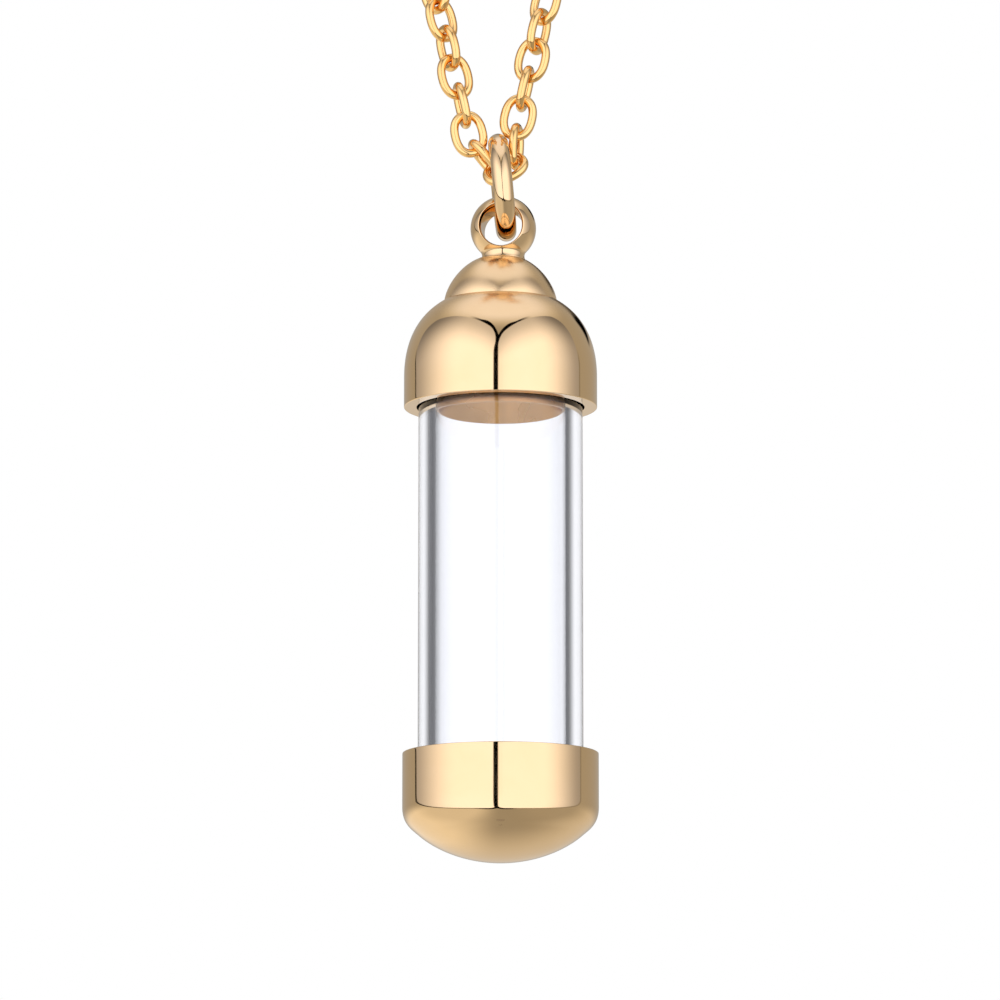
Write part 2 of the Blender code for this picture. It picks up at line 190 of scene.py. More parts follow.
def studio_light(tree):
    """Brightness by direction, as metal sees it and as glass sees it, and the panels' share."""
    do = Sums(tree)
    look = add(tree, "ShaderNodeTexCoord").outputs["Generated"]
    x, y, z = feed(tree, add(tree, "ShaderNodeSeparateXYZ"), look).outputs
    turn = do("MULTIPLY", do("ARCTAN2", x, do("MULTIPLY", y, -1.0)), 180 / pi)
    rise = do("MULTIPLY", do("ARCSINE", z), 180 / pi)
    away = do("ABSOLUTE", turn)
    # From below: brighter to the left and to the back. Then the walls, and the light overhead.
    lower = do("ADD", do.step(x, 0.0, -0.45, 0.40, 0.80), do.step(y, 0.05, 0.85, 0.0, 0.29))
    lower = do("MINIMUM", do("ADD", lower, do.step(x, 0.12, 0.7, 0.0, 0.05)), 0.98)
    value = do.mix(do.step(rise, -14, 5), lower, WALL_LEVEL)
    value = do.mix(do.step(rise, 16, 34), value, do.step(rise, 40, 68, WALL_LEVEL, OVERHEAD_LEVEL))
    share = do.step(rise, 46, 64)
    # A dark line round each panel, wide and black near the gap, and then the panel's own glow.
    for side in (-1, 1):
        inside, over, across = panel(do, turn, rise, side)
        near = do.step(do("ABSOLUTE", do("ADD", turn, GAP_TURN)), 34, 14)
        low_edge = do("MAXIMUM", near, EDGE_DARK[side])
        strength = do.mix(do.step(rise, 12, 22), low_edge, do.step(away, 66, 30))
        width = do("MULTIPLY", do.mix(near, EDGE_WIDTH, GAP_WIDTH), -1.0)
        line = do.step(inside, do("SUBTRACT", width, 1.0), width)
        value = do.mix(do("MULTIPLY", line, strength), value, 0.0)
        glow = do.step(across, PANEL_OUTER[side], 50, PANEL_OUTER_GLOW[side], PANEL_INNER_GLOW)
        glow = do("MULTIPLY", glow, do.step(over, 0, 34, PANEL_TOP_GLOW, 1.0))
        lit = do.step(inside, -0.5, 0.6)
        value = do.mix(lit, value, glow)
        share = do("MAXIMUM", share, lit)
    # A small black hood high up behind the object.
    hood = do("MULTIPLY", do.step(rise, 17, 20), do.step(rise, 33, 28))
    hood = do("MULTIPLY", hood, do("MAXIMUM", do.step(turn, 143, 150), do.step(turn, -175, -178)))
    value = do.mix(hood, value, 0.0)
    # Through glass: a bright wall behind, dark at both sides, and plain soft light from above.
    right = do("ADD", do.step(turn, 98, 128, 0.70, 0.14), do.step(turn, 130, 156, 0.0, 0.97))
    left = do("ADD", do.step(turn, -97, -134, 0.80, 0.12), do.step(turn, -138, -166, 0.0, 0.99))
    clear = do.mix(do("GREATER_THAN", turn, 0.0), left, right)
    clear = do.mix(do.step(away, 88, 99), value, clear)
    around = do("ADD", do("MULTIPLY", value, 0.3), 0.68)
    return value, do.mix(do.step(rise, 2.5, 4.0), around, clear), share


def build_studio():
    world = bpy.data.worlds.new("studio")
    bpy.context.scene.world = world
    world.use_nodes = True
    tree = world.node_tree
    tree.nodes.clear()
    value, clear, share = studio_light(tree)
    colour = mix_colours(tree, share, ROOM_LIGHT, PANEL_LIGHT)
    plain = feed(tree, add(tree, "ShaderNodeBackground"), (1, 1, 1, 1), 1.0)
    painted = feed(tree, add(tree, "ShaderNodeBackground"), colour, value)
    through = feed(tree, add(tree, "ShaderNodeBackground"), GLASS_TINT, clear)
    path = add(tree, "ShaderNodeLightPath")
    seen, glass = path.outputs["Is Camera Ray"], path.outputs["Is Transmission Ray"]
    both = add(tree, "ShaderNodeMixShader")
    feed(tree, both, glass, painted.outputs[0], through.outputs[0])
    everything = add(tree, "ShaderNodeMixShader")
    feed(tree, everything, seen, both.outputs[0], plain.outputs[0])
    feed(tree, add(tree, "ShaderNodeOutputWorld"), everything.outputs[0])


def build_floor():
    sheet = bmesh.new()
    bmesh.ops.create_circle(sheet, cap_ends=True, radius=FLOOR_R, segments=96)
    mesh = bpy.data.meshes.new("floor")
    bmesh.ops.translate(sheet, verts=sheet.verts, vec=(0, 0, FLOOR_Z))
    sheet.to_mesh(mesh)
    sheet.free()
    floor = bpy.data.objects.new("floor", mesh)
    paper = bpy.data.materials.new("studio_paper")
    paper.use_nodes = True
    shader = paper.node_tree.nodes["Principled BSDF"]
    shader.inputs["Base Color"].default_value = FLOOR_COLOUR
    shader.inputs["Roughness"].default_value = 0.8
    mesh.materials.append(paper)
    bpy.context.scene.collection.objects.link(floor)


build_studio()
build_floor()
print("studio dome with two panels, floor at", FLOOR_Z, "m")

# %% [markdown]
# ## Shared surface effects
# Three small effects are used by several finishes, so each is a node group with named inputs:
# the hairlines that wiping leaves on polished metal, the fine rings a lathe tool cuts, and the
# cloudy film of handling. They put out numbers only, and each finish decides what they do.
# %% Groups for hairlines, tool rings and handling film
def new_group(name, inputs, outputs):
    group = bpy.data.node_groups.new(name, "ShaderNodeTree")
    for label, value in inputs.items():
        socket = group.interface.new_socket(label, in_out="INPUT", socket_type="NodeSocketFloat")
        socket.default_value = value
    for label in outputs:
        group.interface.new_socket(label, in_out="OUTPUT", socket_type="NodeSocketFloat")
    return group, add(group, "NodeGroupInput"), add(group, "NodeGroupOutput")


def hairline_group():
    """Long thin scratches in two directions, as a height that dips where a scratch runs."""
    group, given, out = new_group("hairlines", {"Fineness": 900.0, "Share": 0.5}, ["Height"])
    do = Sums(group)
    place = add(group, "ShaderNodeTexCoord").outputs["Object"]
    height = None
    for lean, stretch in ((0.5, (1, 1, 0.06)), (-0.9, (0.08, 0.08, 1))):
        laid = add(group, "ShaderNodeMapping")
        feed(group, laid, place, Rotation=(lean, lean * 0.7, 0.3), Scale=stretch)
        grain = add(group, "ShaderNodeTexNoise")
        feed(group, grain, Vector=laid.outputs[0], Scale=given.outputs["Fineness"], Detail=2.0)
        cut = do("MULTIPLY", do("ABSOLUTE", do("SUBTRACT", grain.outputs[0], 0.5)), 9.0, clamp=True)
        height = cut if height is None else do("MULTIPLY", height, cut)
    feed(group, out, do.mix(given.outputs["Share"], 1.0, height))
    return group


def tool_ring_group():
    """Rings round the turning axis, uneven as a hand-fed tool leaves them."""
    group, given, out = new_group("tool_rings", {"Rings per metre": 9000.0}, ["Height"])
    do = Sums(group)
    place = add(group, "ShaderNodeTexCoord").outputs["Object"]
    z = feed(group, add(group, "ShaderNodeSeparateXYZ"), place).outputs[2]
    pitch = do("MULTIPLY", z, given.outputs["Rings per metre"])
    grain = add(group, "ShaderNodeTexNoise", noise_dimensions="1D")
    feed(group, grain, W=pitch, Scale=1.0, Detail=3.0, Roughness=0.7)
    feed(group, out, grain.outputs[0])
    return group


def film_group():
    """Soft clouds from handling and wiping."""
    inputs = {"Scale": 260.0, "Low": 0.35, "High": 0.75}
    group, given, out = new_group("handling_film", inputs, ["Film"])
    place = add(group, "ShaderNodeTexCoord").outputs["Object"]
    cloud = add(group, "ShaderNodeTexNoise")
    feed(group, cloud, Vector=place, Scale=given.outputs["Scale"], Detail=3.0, Distortion=0.6)
    spread = add(group, "ShaderNodeMapRange")
    feed(group, spread, cloud.outputs[0], given.outputs["Low"], given.outputs["High"], 0.0, 1.0)
    feed(group, out, spread.outputs[0])
    return group


HAIRLINES, TOOL_RINGS, FILM = hairline_group(), tool_ring_group(), film_group()
print("groups:", [g.name for g in (HAIRLINES, TOOL_RINGS, FILM)])

# %% [markdown]
# ## Metal finishes
# The caps are mirror polished and plated, and the polish softens to satin over the top cap's
# shoulder. The chain is a warmer and softer gold, the neck under the cap plain turned brass,
# and the clasp's pin and leaf are steel. One recipe makes them all: a metal whose colour drifts
# a little in the film, whose roughness rises with it, and whose fine marks come from a bump.
# %% Polished gold, chain gold, turned brass and spring steel
def use_group(tree, group, **values):
    node = add(tree, "ShaderNodeGroup", node_tree=group)
    return feed(tree, node, **values).outputs[0]


def new_material(name):
    """A material, its node tree, the arithmetic for the tree, and its main shader."""
    made = bpy.data.materials.new(name)
    made.use_nodes = True
    tree = made.node_tree
    return made, tree, Sums(tree), tree.nodes["Principled BSDF"]


def raise_marks(tree, shader, height, depth):
    """Fine marks as a bump, depth in metres."""
    bump = feed(tree, add(tree, "ShaderNodeBump"), Strength=1.0, Distance=depth, Height=height)
    tree.links.new(bump.outputs[0], shader.inputs["Normal"])


def metal(name, light, dark, rough, depth, marks=0, rings=0, satin=None):
    """light and dark are the drift of the colour, rough the lowest and highest roughness, depth
    that of the marks. marks is the fineness of hairlines, and rings the tool rings per metre.
    satin is the height where the polish ends, where it is gone, and the roughness there."""
    made, tree, do, shader = new_material(name)
    film = use_group(tree, FILM, Scale=METAL_FILM_SCALE)
    colour = mix_colours(tree, film, (*light, 1), (*dark, 1))
    tree.links.new(colour, shader.inputs["Base Color"])
    shader.inputs["Metallic"].default_value = 1.0
    roughness = do.mix(film, *rough)
    if satin:
        place = add(tree, "ShaderNodeTexCoord").outputs["Object"]
        up = feed(tree, add(tree, "ShaderNodeSeparateXYZ"), place).outputs[2]
        roughness = do("MAXIMUM", roughness, do.step(up, satin[0], satin[1], 0.0, satin[2]))
    tree.links.new(roughness, shader.inputs["Roughness"])
    if rings:
        height = use_group(tree, TOOL_RINGS, Rings_per_metre=rings)
    else:
        height = use_group(tree, HAIRLINES, Fineness=marks, Share=0.6)
    raise_marks(tree, shader, height, depth)
    return made


METAL_FILM_SCALE = 260.0
POLISHED = (0.87, 0.615, 0.335), (0.84, 0.585, 0.305), (0.035, 0.07), 2e-7, 700
SATIN = at(0, 0, 4.2).z, at(0, 0, 5.1).z, 0.24
FINISH = {
    "gold_polished": metal("polished_gold", *POLISHED),
    "gold_satin_top": metal("polished_gold_satin_top", *POLISHED, satin=SATIN),
    "gold_chain": metal("chain_gold", (0.93, 0.60, 0.235), (0.89, 0.54, 0.19), (0.07, 0.12),
                        3e-7, 1500),
    "brass_turned": metal("turned_brass", (0.56, 0.32, 0.13), (0.44, 0.245, 0.095), (0.24, 0.36),
                          2e-6, rings=14000),
    "spring_steel": metal("spring_steel", (0.62, 0.61, 0.59), (0.52, 0.51, 0.50), (0.2, 0.35),
                          1e-6, 1500),
}
print("metals:", sorted(FINISH))

# %% [markdown]
# ## Glass and silicone
# Glass is its surface and what it bends, so it keeps a plain full transmission and the right
# index. Only a very faint drawn waviness and a breath of film are added. Silicone is milky:
# part of the light goes through and comes out soft.
# %% Clear glass and milky silicone
def clear_glass():
    made, tree, do, shader = new_material("clear_glass")
    shader.inputs["Base Color"].default_value = (0.975, 0.98, 0.995, 1)
    shader.inputs["Transmission Weight"].default_value = 1.0
    shader.inputs["IOR"].default_value = 1.47
    film = use_group(tree, FILM, Scale=180.0, Low=0.45, High=0.8)
    tree.links.new(do("MULTIPLY", film, 0.02), shader.inputs["Roughness"])
    place = add(tree, "ShaderNodeTexCoord").outputs["Object"]
    drawn = feed(tree, add(tree, "ShaderNodeMapping"), place, Scale=(1, 1, 0.08))
    wave = add(tree, "ShaderNodeTexNoise")
    feed(tree, wave, Vector=drawn.outputs[0], Scale=350.0, Detail=1.0)
    raise_marks(tree, shader, wave.outputs[0], 1.5e-6)
    return made


def milky_silicone():
    made, tree, do, shader = new_material("milky_silicone")
    shader.inputs["Base Color"].default_value = (0.86, 0.86, 0.84, 1)
    shader.inputs["Transmission Weight"].default_value = 0.35
    shader.inputs["IOR"].default_value = 1.41
    film = use_group(tree, FILM, Scale=700.0)
    tree.links.new(do.mix(film, 0.35, 0.6), shader.inputs["Roughness"])
    grain = use_group(tree, HAIRLINES, Fineness=1200, Share=0.5)
    raise_marks(tree, shader, grain, 3e-6)
    return made


FINISH["glass_clear"] = clear_glass()
FINISH["silicone"] = milky_silicone()
print("finishes:", sorted(FINISH))

# %% [markdown]
# ## The lathe
# Caps, tube, neck, seals and even the drilled ball are turned shapes: one outline carried
# round an axis. A Screw modifier could do that, but a Geometry Nodes recipe can also cut the
# thread while it turns, by moving the radius in and out along a helix. A grid gives the
# surface its points, each point looks up its place in the outline, and points that meet at
# the seam and on the axis are merged.
# %% Recipe of the lathe
def new_recipe(name, inputs):
    group = bpy.data.node_groups.new(name, "GeometryNodeTree")
    group.interface.new_socket("Geometry", in_out="OUTPUT", socket_type="NodeSocketGeometry")
    group.interface.new_socket("Geometry", in_out="INPUT", socket_type="NodeSocketGeometry")
    for label, kind in inputs.items():
        group.interface.new_socket(label, in_out="INPUT", socket_type="NodeSocket" + kind)
    return group, add(group, "NodeGroupInput").outputs, add(group, "NodeGroupOutput")


def lathe_recipe():
    group, given, out = new_recipe("lathe", {
        "Steps": "Int", "Thread Depth": "Float", "Thread Pitch": "Float", "Thread Radius": "Float",
        "Thread From": "Float", "Thread To": "Float", "Finish": "Material",
    })
    do = Sums(group)
    count = add(group, "GeometryNodeAttributeDomainSize", component="MESH")
    rows = feed(group, count, given["Geometry"]).outputs["Point Count"]
    grid = add(group, "GeometryNodeMeshGrid")
    feed(group, grid, 1.0, 1.0, do("ADD", given["Steps"], 1.0), rows)
    index = add(group, "GeometryNodeInputIndex").outputs[0]
    ring = do("FLOORED_MODULO", index, rows)
    turn = do("MULTIPLY", do("FLOOR", do("DIVIDE", do("ADD", index, 0.5), rows)), 2 * pi)
    turn = do("DIVIDE", turn, given["Steps"])
    here = add(group, "GeometryNodeInputPosition").outputs[0]
    pick = add(group, "GeometryNodeSampleIndex", data_type="FLOAT_VECTOR", domain="POINT")
    outline = feed(group, pick, given["Geometry"], here, Index=ring).outputs[0]
    radius, _, height = feed(group, add(group, "ShaderNodeSeparateXYZ"), outline).outputs
    climb = do("DIVIDE", height, given["Thread Pitch"])
    phase = do("FRACT", do("SUBTRACT", climb, do("DIVIDE", turn, 2 * pi)))
    tooth = do("SMOOTH_MIN", do("MULTIPLY", do("PINGPONG", phase, 0.5), 2.6), 1.0, 0.15)
    near = do("LESS_THAN", do("ABSOLUTE", do("SUBTRACT", radius, given["Thread Radius"])), 2e-6)
    run_in = do.step(height, given["Thread From"], do("ADD", given["Thread From"], 1e-4))
    run_out = do.step(height, given["Thread To"], do("SUBTRACT", given["Thread To"], 1e-4))
    cut = do("MULTIPLY", do("MULTIPLY", near, do("MULTIPLY", run_in, run_out)), tooth)
    radius = do("SUBTRACT", radius, do("MULTIPLY", cut, given["Thread Depth"]))
    place = add(group, "ShaderNodeCombineXYZ")
    feed(group, place, do("MULTIPLY", radius, do("COSINE", turn)),
         do("MULTIPLY", radius, do("SINE", turn)), height)
    turned = add(group, "GeometryNodeSetPosition")
    feed(group, turned, grid.outputs["Mesh"], Position=place.outputs[0])
    merged = add(group, "GeometryNodeMergeByDistance")
    feed(group, merged, turned.outputs[0], Distance=4e-7)
    real = feed(group, add(group, "GeometryNodeRealizeInstances"), merged.outputs[0])
    finished = add(group, "GeometryNodeSetMaterial")
    feed(group, finished, real.outputs[0], Material=given["Finish"])
    feed(group, out, finished.outputs[0])
    return group


LATHE = lathe_recipe()
print("lathe recipe with", len(LATHE.nodes), "nodes")

# %% [markdown]
# ## Baking a recipe
# The modifier's inputs are set by each socket's identifier before anything is evaluated. The
# result becomes a plain mesh with its faces outwards, and edges sharper than a limit stay crisp
# while the rest shade smooth. Then the piece is tied to its body and its solid.
# %% Bake a recipe and hand the piece over
CRISP_EDGE = radians(32)


def settle(mesh, crisp=CRISP_EDGE):
    """Outward faces, smooth shading, crisp edges."""
    work = bmesh.new()
    work.from_mesh(mesh)
    bmesh.ops.remove_doubles(work, verts=work.verts, dist=3e-7)
    bmesh.ops.recalc_face_normals(work, faces=work.faces)
    work.to_mesh(mesh)
    work.free()
    mesh.shade_smooth()
    mesh.set_sharp_from_angle(angle=crisp)


def baked(piece):
    """Turns what the piece's modifiers make into its plain mesh, and removes them."""
    bpy.context.view_layer.update()
    evaluated = piece.evaluated_get(bpy.context.evaluated_depsgraph_get())
    mesh = bpy.data.meshes.new_from_object(evaluated)
    piece.modifiers.clear()
    piece.data = mesh
    return mesh


def bake(name, seed_mesh, recipe, values, place=None, crisp=CRISP_EDGE):
    """Runs a recipe on a seed mesh and returns a plain mesh object in the frame."""
    holder = bpy.data.objects.new(name, seed_mesh)
    bpy.context.scene.collection.objects.link(holder)
    step = holder.modifiers.new("recipe", "NODES")
    step.node_group = recipe
    for item in recipe.interface.items_tree:
        if item.in_out == "INPUT" and item.name in values:
            step[item.identifier] = values[item.name]
    mesh = baked(holder)
    if place is not None:
        mesh.transform(place)
    settle(mesh, crisp)
    mesh.name = name
    return holder


def hand_over(piece, body, slot, *nodes):
    """The piece moves with the body, takes the slot's finish and stands for the solids."""
    if not piece.data.materials:
        piece.data.materials.append(FINISH[slot])
    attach(piece, body)
    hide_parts(*nodes)


print("crisp edges above", round(CRISP_EDGE * 180 / pi), "degrees")

# %% [markdown]
# ## Outlines
# An outline is drawn as a turner's template: straight runs, and smooth Bezier sweeps where the
# metal is domed. A small arc takes the bite off every rim, because a real edge always catches
# a line of light.
# %% Outline helpers and the turning call
def sweep(p0, p1, p2, p3, steps=28):
    """Points of a Bezier sweep, without its first point."""
    found = []
    for i in range(1, steps + 1):
        t = i / steps
        a, b, c, d = (1 - t) ** 3, 3 * (1 - t) ** 2 * t, 3 * (1 - t) * t * t, t ** 3
        found.append(tuple(a * p0[k] + b * p1[k] + c * p2[k] + d * p3[k] for k in (0, 1)))
    return found


def run(p0, p1, steps):
    """Evenly spaced points of a straight run, without its first point."""
    return [tuple(p0[k] + (p1[k] - p0[k]) * i / steps for k in (0, 1)) for i in range(1, steps + 1)]


def rounded(before, corner, after, bite, steps=5):
    """A small rounded corner between two runs."""
    def toward(end):
        span = dist(end, corner)
        return tuple(corner[k] + (end[k] - corner[k]) * bite / span for k in (0, 1))
    start, stop = toward(before), toward(after)
    return [start, *sweep(start, corner, corner, stop, steps)]


THREAD_PITCH = 0.75


def turn(name, outline, slot, steps=160, place=None, thread=None, lift=RIM_BELOW_ORIGIN):
    """Turns an outline of (radius, height) in millimetres. thread is radius, from, to, depth."""
    seed = bpy.data.meshes.new(name + "_outline")
    seed.from_pydata([(r * MM, 0, (z - lift) * MM) for r, z in outline], [], [])
    radius, low, high, depth = thread or (0, 0, 0, 0)
    values = {
        "Steps": steps, "Thread Depth": depth * MM, "Thread Pitch": THREAD_PITCH * MM,
        "Thread Radius": radius * MM, "Thread From": (low - lift) * MM,
        "Thread To": (high - lift) * MM, "Finish": FINISH[slot],
    }
    return bake(name, seed, LATHE, values, place)


print("outline helpers ready, thread pitch", THREAD_PITCH, "mm")

# %% [markdown]
# ## Glass tube
# Stock tube, 9 mm outside with a thick wall, cut to length and fire polished, which rounds
# both cut ends. The outline is a closed loop, so the lathe makes a wall and not a rod.
# %% Turn the glass tube
TUBE_R, BORE_R = 4.48, 3.55
TUBE_TOP, TUBE_BOTTOM = 1.93, -21.99
FIRE_ROUND = 0.22


def loop_of(corners, bite):
    """A closed outline through corners, each rounded by its own bite."""
    found = []
    for i, corner in enumerate(corners):
        after = corners[(i + 1) % len(corners)]
        found += rounded(corners[i - 1], corner, after, bite[i] if isinstance(bite, tuple) else bite)
    return found + [found[0]]


tube_corners = [(BORE_R, TUBE_BOTTOM), (TUBE_R, TUBE_BOTTOM), (TUBE_R, TUBE_TOP), (BORE_R, TUBE_TOP)]
tube = turn("glass_tube_clear", loop_of(tube_corners, FIRE_ROUND), "glass_clear", 192)
hand_over(tube, "vial", "glass_clear", "glass_tube")
print("tube", 2 * TUBE_R, "mm across,", round(TUBE_TOP - TUBE_BOTTOM, 2), "mm long")

# %% [markdown]
# ## Threaded neck
# A brass sleeve is set into the bore of the tube. Its flange sits on the glass and its neck
# carries a fine screw thread. The rings of the tool stay on it, because nobody polishes what
# the cap hides. The lathe recipe cuts the thread as a helix of real depth.
# %% Turn the neck with its thread
NECK_BORE_R, SLEEVE_R, FLANGE_R, THREAD_R = 2.90, 3.48, 4.30, 3.50
MOUTH_R, MOUTH_TOP = 3.36, 0.90
SLEEVE_BOTTOM, FLANGE_BOTTOM, FLANGE_TOP, NECK_TOP = -0.35, 1.96, 2.36, 4.63


def neck_outline():
    """Up the flared mouth, down inside the sleeve, out over the flange and up the thread."""
    edge = 0.06
    mouth, throat = (MOUTH_R, SLEEVE_BOTTOM), (NECK_BORE_R, MOUTH_TOP)
    found = rounded((NECK_BORE_R, NECK_TOP), throat, mouth, 0.2, 8)
    found += rounded(throat, mouth, (SLEEVE_R, SLEEVE_BOTTOM), 0.02, 3)
    found += rounded(mouth, (SLEEVE_R, SLEEVE_BOTTOM), (SLEEVE_R, 1), 0.05)
    for groove in (0.25, 0.75, 1.25):
        found += [(SLEEVE_R, groove - 0.08), (SLEEVE_R - 0.06, groove - 0.04),
                  (SLEEVE_R - 0.06, groove + 0.04), (SLEEVE_R, groove + 0.08)]
    found += [(SLEEVE_R, FLANGE_BOTTOM)]
    low, high = (FLANGE_R, FLANGE_BOTTOM), (FLANGE_R, FLANGE_TOP)
    found += rounded((SLEEVE_R, FLANGE_BOTTOM), low, high, 0.04)
    found += rounded(low, high, (THREAD_R, FLANGE_TOP), edge)
    found += [(THREAD_R, FLANGE_TOP)]
    found += run((THREAD_R, FLANGE_TOP), (THREAD_R, NECK_TOP - edge), 90)
    top = (THREAD_R, NECK_TOP)
    found += sweep(found[-1], top, top, (THREAD_R - edge, NECK_TOP), 5)
    found += rounded(top, (NECK_BORE_R, NECK_TOP), (NECK_BORE_R, 2), edge)
    return found + [found[0]]


NECK_THREAD = (THREAD_R, 2.5, 4.62, 0.20)
neck = turn("threaded_neck", neck_outline(), "brass_turned", 144, thread=NECK_THREAD)
hand_over(neck, "vial", "brass_turned", "neck_collar")
print("neck thread", 2 * THREAD_R, "x", THREAD_PITCH, "mm")

# %% [markdown]
# ## Seals
# Three soft pieces close the vial: an O-ring under the thread, a disc in the roof of the cap
# that presses on the neck, and a cushion under the glass in the base. They are turned shapes
# too, so the same lathe makes them.
# %% O-ring, cap liner and base cushion
O_RING, LINER, CUSHION = (3.93, 2.75, 0.34), (3.55, 4.68, 5.02), (4.40, -22.32, -22.02)
SOFT_EDGE = 0.06


def disc_outline(radius, low, high, edge=SOFT_EDGE):
    """A flat disc with eased rims."""
    found = [(0, low), (radius * 0.5, low)]
    found += rounded((0, low), (radius, low), (radius, high), edge)
    found += rounded((radius, low), (radius, high), (0, high), edge)
    return found + [(radius * 0.5, high), (0, high)]


def o_ring_outline(radius, height, wire, steps=24):
    """A closed circle of the radius wire beside the axis."""
    return [(radius + wire * cos(2 * pi * i / steps), height + wire * sin(2 * pi * i / steps))
            for i in range(steps + 1)]


ring_seal = turn("rubber_o_ring", o_ring_outline(*O_RING), "silicone", 120)
hand_over(ring_seal, "seal", "silicone", "neck_o_ring")
liner = turn("roof_liner", disc_outline(*LINER), "silicone", 120)
hand_over(liner, "cap", "silicone", "cap_liner")
cushion = turn("glass_cushion", disc_outline(*CUSHION), "silicone", 120)
hand_over(cushion, "vial", "silicone", "base_cushion")
print("seals: o-ring, liner and cushion")

# %% [markdown]
# ## Bottom cap
# A cup with a straight wall and a shallow dome, glued on. The dome is two sweeps that meet
# with the same slope: a tight one at the edge and a long flat one to the middle. If the slopes
# did not match, the mirror would show a crease.
# %% Turn the bottom cap
BASE_R, BASE_RIM, BASE_FLOOR, CUP_R = 5.31, -19.0, -22.35, 4.58
BASE_EDGE, BASE_JOIN, BASE_BOTTOM = -21.93, (4.466, -23.404), -24.92


def bottom_cap_outline():
    """From the middle of the cup's floor up the inside, over the rim and down to the dome."""
    dome = sweep((BASE_R, BASE_EDGE), (BASE_R, -22.811), (4.819, -23.096), BASE_JOIN, 22)
    dome += sweep(BASE_JOIN, (3.517, -24.23), (1.874, BASE_BOTTOM), (0, BASE_BOTTOM), 30)
    found = [(0, BASE_FLOOR), (2.5, BASE_FLOOR)]
    found += rounded((0, BASE_FLOOR), (CUP_R, BASE_FLOOR), (CUP_R, BASE_RIM), 0.05)
    found += rounded((CUP_R, BASE_FLOOR), (CUP_R, BASE_RIM), (BASE_R, BASE_RIM), 0.06)
    found += rounded((CUP_R, BASE_RIM), (BASE_R, BASE_RIM), (BASE_R, BASE_EDGE), 0.09, 7)
    found += run(found[-1], (BASE_R, BASE_EDGE), 10)
    return found + dome


base = turn("bottom_cap_gold", bottom_cap_outline(), "gold_polished", 240)
hand_over(base, "vial", "gold_polished", "bottom_cap")
print("bottom cap", 2 * BASE_R, "mm across")

# %% [markdown]
# ## Top cap
# A deeper cup: a straight skirt, a shoulder that closes in, a crease, and a small dome on top
# of it. Inside are the seat for the O-ring, the threaded bore and the roof. The crease is a
# real inner corner, kept crisp, because polishing never reaches its bottom.
# %% Turn the top cap
CAP_R, CAP_BORE_R, CAP_CEILING, CAP_THREAD_R, CAP_ROOF = 5.275, 4.58, 3.14, 3.62, 5.05
SHOULDER_START, CREASE, BOSS_FOOT, BOSS_TOP = 1.7, (3.18, 5.86), (3.08, 5.88), (1.22, 8.28)


def top_cap_outline():
    """From the roof down the threaded bore, round the skirt's rim, and up over the boss."""
    corner, lip = (CAP_THREAD_R, CAP_ROOF), (CAP_THREAD_R, CAP_CEILING)
    seat = (CAP_BORE_R, CAP_CEILING)
    found = [(0, CAP_ROOF), (2.0, CAP_ROOF)]
    found += rounded((0, CAP_ROOF), corner, lip, 0.05)
    found += run(found[-1], (CAP_THREAD_R, CAP_CEILING + 0.06), 80)
    found += rounded(corner, lip, seat, 0.05)
    found += rounded(lip, seat, (CAP_BORE_R, 0), 0.05)
    found += run(found[-1], (CAP_BORE_R, 0.3), 6)
    found += rounded((CAP_BORE_R, 1), (CAP_BORE_R, 0), (CAP_R, 0), 0.08)
    found += rounded((CAP_BORE_R, 0), (CAP_R, 0), (CAP_R, SHOULDER_START), 0.09, 7)
    found += run(found[-1], (CAP_R, SHOULDER_START), 8)
    found += sweep((CAP_R, SHOULDER_START), (CAP_R, 4.38), (3.941, 5.396), CREASE, 44)
    found += [(3.10, 5.865), BOSS_FOOT]
    found += sweep(BOSS_FOOT, (3.08, 6.531), (2.34, 7.845), BOSS_TOP, 36)
    return found + [(0.6, 8.28), (0, 8.28)]


CAP_THREAD = (CAP_THREAD_R, 3.2, 5.0, -0.12)
cap = turn("top_cap_gold", top_cap_outline(), "gold_satin_top", 240, thread=CAP_THREAD)
hand_over(cap, "cap", "gold_polished", "top_cap")
print("top cap", 2 * CAP_R, "mm across")

# %% [markdown]
# ## Drilled ball
# The eye is a solid ball with a hole through it, soldered on a short waisted foot. A Boolean
# would leave ragged shading round the hole. A drilled ball is also a turned shape about its
# own hole, so the lathe makes it without a cut, and a matrix lays it down.
# %% Turn the ball about its hole, and its foot
BALL_R, EYE_R = 1.80, 1.13
BALL_AT = at(0.15, 0, 10.0)


def ball_outline():
    """Round the outside of the ball, over the eased rim of the hole, and back through it."""
    ball = [(BALL_R * cos(radians(a)), BALL_R * sin(radians(a))) for a in range(-46, 47, 2)]
    upper = sweep(ball[-1], (1.215, 1.33), (EYE_R + 0.02, 1.20), (EYE_R, 1.0), 10)
    bore = run((EYE_R, 1.0), (EYE_R, -1.0), 10)
    lower = [(r, -z) for r, z in reversed([ball[-1], *upper[:-1]])]
    return [*ball, *upper, *bore, *lower]


lay_down = Matrix.Translation(BALL_AT) @ Matrix.Rotation(radians(-6), 4, "Z")
lay_down = lay_down @ Matrix.Rotation(pi / 2, 4, "X")
ball = turn("drilled_ball", ball_outline(), "gold_polished", 160, lay_down, lift=0)
hand_over(ball, "cap", "gold_polished", "bail_eye")
foot_outline = [(0, 8.20), (1.20, 8.20), (1.20, 8.28)]
foot_outline += sweep((1.20, 8.28), (1.15, 8.42), (1.14, 8.55), (1.26, 8.74), 16)
foot_outline += [(1.2, 8.80), (0, 8.80)]
aside = Matrix.Translation((BALL_AT.x, 0, 0))
foot = turn("ball_foot", foot_outline, "gold_polished", 120, aside)
hand_over(foot, "cap", "gold_polished", "bail_eye")
print("ball", 2 * BALL_R, "mm with a", 2 * EYE_R, "mm hole")

